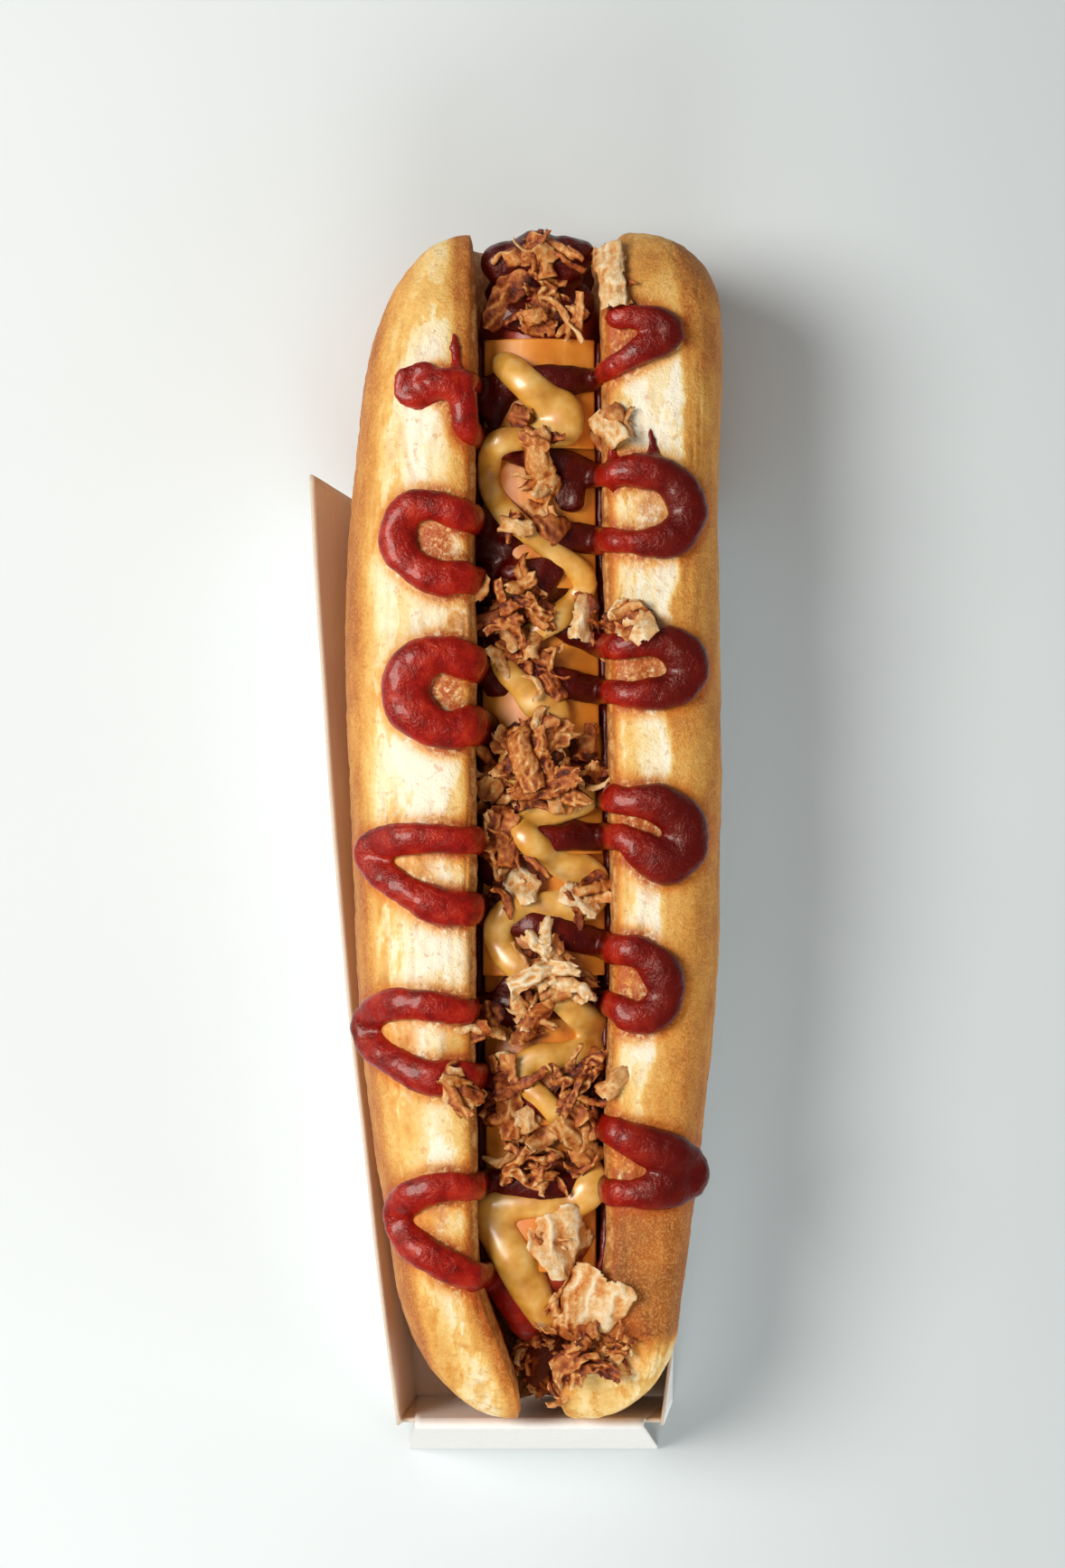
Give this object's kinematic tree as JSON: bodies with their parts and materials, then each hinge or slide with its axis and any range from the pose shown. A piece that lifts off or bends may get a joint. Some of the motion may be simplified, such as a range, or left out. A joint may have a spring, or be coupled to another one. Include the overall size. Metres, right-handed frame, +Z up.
{
  "type": "hot dog",
  "caption": "Loaded hot dog: a long soft bun slit from above, filled with a sausage, cheese slices, mustard, ketchup loops and fried onion, lying in a tapered open-ended card tray.",
  "frame": {"origin": "on the tray's flat underside, below the middle of the bun's length", "axes": "+Y along the bun towards the tray's open end, +Z up, +X to the right seen from above with +Y away"},
  "size_m": [0.0767, 0.2295, 0.0537],
  "materials": {
    "card": "uncoated kraft inside, white outside",
    "bread": "soft baked crust with glossy red sauce loops",
    "sausage": "moist skin",
    "cheese": "satin slices under glossy sauces",
    "onion": "crisp fried flakes"
  },
  "bodies": {
    "root": {"tray": "card", "bun": "bread", "sausage": "sausage", "cheese_1": "cheese", "cheese_2": "cheese", "cheese_3": "cheese", "cheese_4": "cheese", "cheese_5": "cheese", "cheese_6": "cheese", "cheese_7": "cheese", "onion_1": "onion", "onion_2": "onion", "onion_3": "onion", "onion_4": "onion", "onion_5": "onion", "onion_6": "onion", "onion_7": "onion", "onion_8": "onion", "onion_9": "onion", "onion_10": "onion", "onion_11": "onion", "onion_12": "onion", "onion_13": "onion", "onion_14": "onion", "onion_15": "onion", "onion_16": "onion", "onion_17": "onion", "onion_18": "onion", "onion_19": "onion", "onion_20": "onion", "onion_21": "onion", "onion_22": "onion", "onion_23": "onion", "onion_24": "onion", "onion_25": "onion", "onion_26": "onion", "onion_27": "onion", "onion_28": "onion"}
  },
  "joints": []
}
